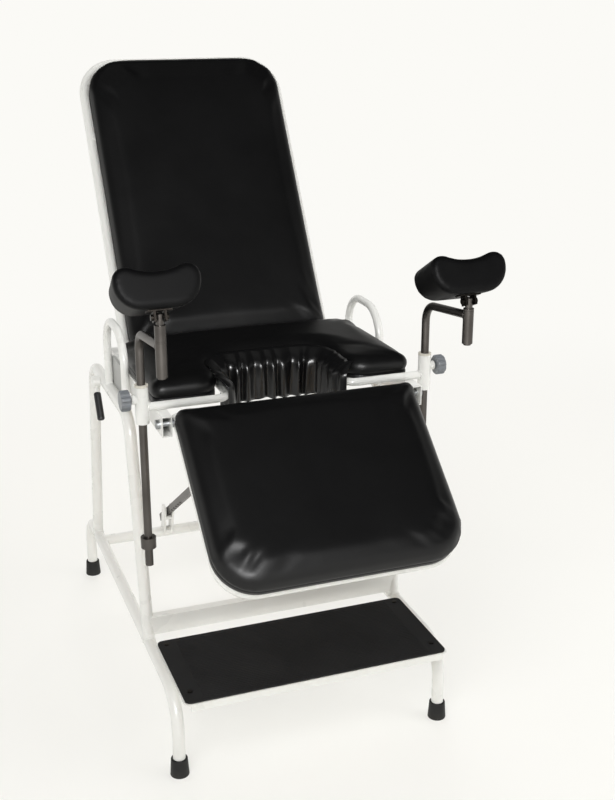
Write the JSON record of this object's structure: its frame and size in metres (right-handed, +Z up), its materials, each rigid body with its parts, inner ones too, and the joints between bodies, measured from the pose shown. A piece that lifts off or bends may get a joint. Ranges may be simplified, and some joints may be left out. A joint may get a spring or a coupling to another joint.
{
  "type": "gynecological chair",
  "caption": "White tube-frame examination chair with a step, reclining back, lifting leg rest, seat notch and knee crutches with cups on adjustable rods.",
  "frame": {"origin": "middle of the chair's outline on the floor, at floor level", "axes": "the chair faces -Y, +X is to the right seen from the front, +Z is up"},
  "size_m": [0.7336, 1.1322, 1.308],
  "materials": {
    "ivory_paint": "gloss stoved enamel",
    "grey_plate": "satin",
    "black_leatherette": "soft sheen",
    "plywood": "raw",
    "foot_rubber": "matt",
    "mat_rubber": "matt ribbed",
    "zinc_steel": "zinc plated",
    "dark_steel": "dark oxidised",
    "bush_plastic": "moulded",
    "cup_moulding": "soft moulded skin",
    "knob_plastic": "satin moulded",
    "grip_plastic": "moulded"
  },
  "bodies": {
    "chassis": {"base_rail_left": "ivory_paint", "base_rail_right": "ivory_paint", "foot_front_left": "foot_rubber", "foot_front_right": "foot_rubber", "foot_rear_left": "foot_rubber", "foot_rear_right": "foot_rubber", "side_frame_left": "ivory_paint", "side_frame_right": "ivory_paint", "front_cross_bar": "ivory_paint", "rear_cross_tube": "ivory_paint", "step_plate": "ivory_paint", "step_mat": "mat_rubber", "step_screws": "dark_steel", "seat_side_plate_left": "grey_plate", "seat_side_plate_right": "grey_plate", "seat_rail_left": "ivory_paint", "seat_rail_right": "ivory_paint", "seat_cross_tubes": "ivory_paint", "seat_board": "plywood", "seat_cushion": "black_leatherette", "seat_front_rail": "ivory_paint", "notch_lining": "black_leatherette", "crutch_socket_left": "ivory_paint", "crutch_socket_right": "ivory_paint", "grab_handle_left": "ivory_paint", "grab_handle_right": "ivory_paint", "hinge_bolts": "zinc_steel", "clamp_spacer": "ivory_paint", "clamp_bolt": "zinc_steel", "rack_catch": "ivory_paint"},
    "backrest": {"backrest_frame": "ivory_paint", "backrest_cross_tubes": "ivory_paint", "backrest_board": "plywood", "backrest_cushion": "black_leatherette", "clamp_quadrant": "grey_plate"},
    "clamp_lever": {"clamp_lever": "ivory_paint", "clamp_lever_grip": "grip_plastic"},
    "leg_rest": {"leg_rest_frame": "ivory_paint", "leg_rest_cross_tube": "ivory_paint", "leg_rest_board": "plywood", "leg_rest_cushion": "black_leatherette", "rack_lugs": "ivory_paint", "rack_pivot_pin": "zinc_steel"},
    "rack": {"leg_rest_rack": "dark_steel"},
    "bush_left": {"crutch_bush_left": "bush_plastic"},
    "crutch_left": {"crutch_arm_left": "dark_steel", "crutch_collar_left": "dark_steel"},
    "stem_left": {"cup_stem_left": "dark_steel"},
    "cup_left": {"cup_bracket_left": "dark_steel", "cup_bolt_left": "dark_steel", "leg_cup_left": "cup_moulding"},
    "knob_left": {"crutch_knob_left": "knob_plastic"},
    "bush_right": {"crutch_bush_right": "bush_plastic"},
    "crutch_right": {"crutch_arm_right": "dark_steel", "crutch_collar_right": "dark_steel"},
    "stem_right": {"cup_stem_right": "dark_steel"},
    "cup_right": {"cup_bracket_right": "dark_steel", "cup_bolt_right": "dark_steel", "leg_cup_right": "cup_moulding"},
    "knob_right": {"crutch_knob_right": "knob_plastic"}
  },
  "joints": [
    {"name": "backrest_recline", "type": "hinge", "parent": "chassis", "child": "backrest", "pos_m": [0, 0.1815, 0.693], "axis": [-1, 0, 0], "range_deg": [-10, 58]},
    {"name": "clamp_lever_turn", "type": "hinge", "parent": "chassis", "child": "clamp_lever", "pos_m": [-0.3, 0.2015, 0.64], "axis": [-1, 0, 0], "range_deg": [-10, 70]},
    {"name": "leg_rest_lift", "type": "hinge", "parent": "chassis", "child": "leg_rest", "pos_m": [0, -0.2495, 0.693], "axis": [-1, 0, 0], "range_deg": [-50, 40]},
    {"name": "rack_swing", "type": "hinge", "parent": "leg_rest", "child": "rack", "pos_m": [-0.115, -0.23772, 0.61673], "axis": [-1, 0, 0], "range_deg": [-44, 54.5]},
    {"name": "crutch_turn_left", "type": "hinge", "parent": "chassis", "child": "bush_left", "pos_m": [-0.291, -0.2245, 0.726], "axis": [0, 0, -1], "range_deg": [-35, 60]},
    {"name": "crutch_height_left", "type": "slide", "parent": "bush_left", "child": "crutch_left", "axis": [0, 0, 1], "range_m": [-0.05, 0.2]},
    {"name": "cup_turn_left", "type": "hinge", "parent": "crutch_left", "child": "stem_left", "pos_m": [-0.291, -0.4005, 0.87], "axis": [0, 0, -1], "range_deg": [-60, 60]},
    {"name": "cup_tilt_left", "type": "hinge", "parent": "stem_left", "child": "cup_left", "pos_m": [-0.291, -0.4005, 0.941], "axis": [-1, 0, 0], "range_deg": [-25, 2]},
    {"name": "knob_turn_left", "type": "hinge", "parent": "chassis", "child": "knob_left", "pos_m": [-0.32, -0.2245, 0.738], "axis": [-1, 0, 0], "continuous": true},
    {"name": "crutch_turn_right", "type": "hinge", "parent": "chassis", "child": "bush_right", "pos_m": [0.291, -0.2245, 0.726], "axis": [0, 0, 1], "range_deg": [-35, 60]},
    {"name": "crutch_height_right", "type": "slide", "parent": "bush_right", "child": "crutch_right", "axis": [0, 0, 1], "range_m": [-0.05, 0.2]},
    {"name": "cup_turn_right", "type": "hinge", "parent": "crutch_right", "child": "stem_right", "pos_m": [0.291, -0.4005, 0.87], "axis": [0, 0, 1], "range_deg": [-60, 60]},
    {"name": "cup_tilt_right", "type": "hinge", "parent": "stem_right", "child": "cup_right", "pos_m": [0.291, -0.4005, 0.916], "axis": [-1, 0, 0], "range_deg": [-25, 2]},
    {"name": "knob_turn_right", "type": "hinge", "parent": "chassis", "child": "knob_right", "pos_m": [0.32, -0.2245, 0.738], "axis": [1, 0, 0], "continuous": true}
  ],
  "couplings": [
    {"joint": "rack_swing", "follows": "leg_rest_lift", "ratio": -1.0719}
  ]
}
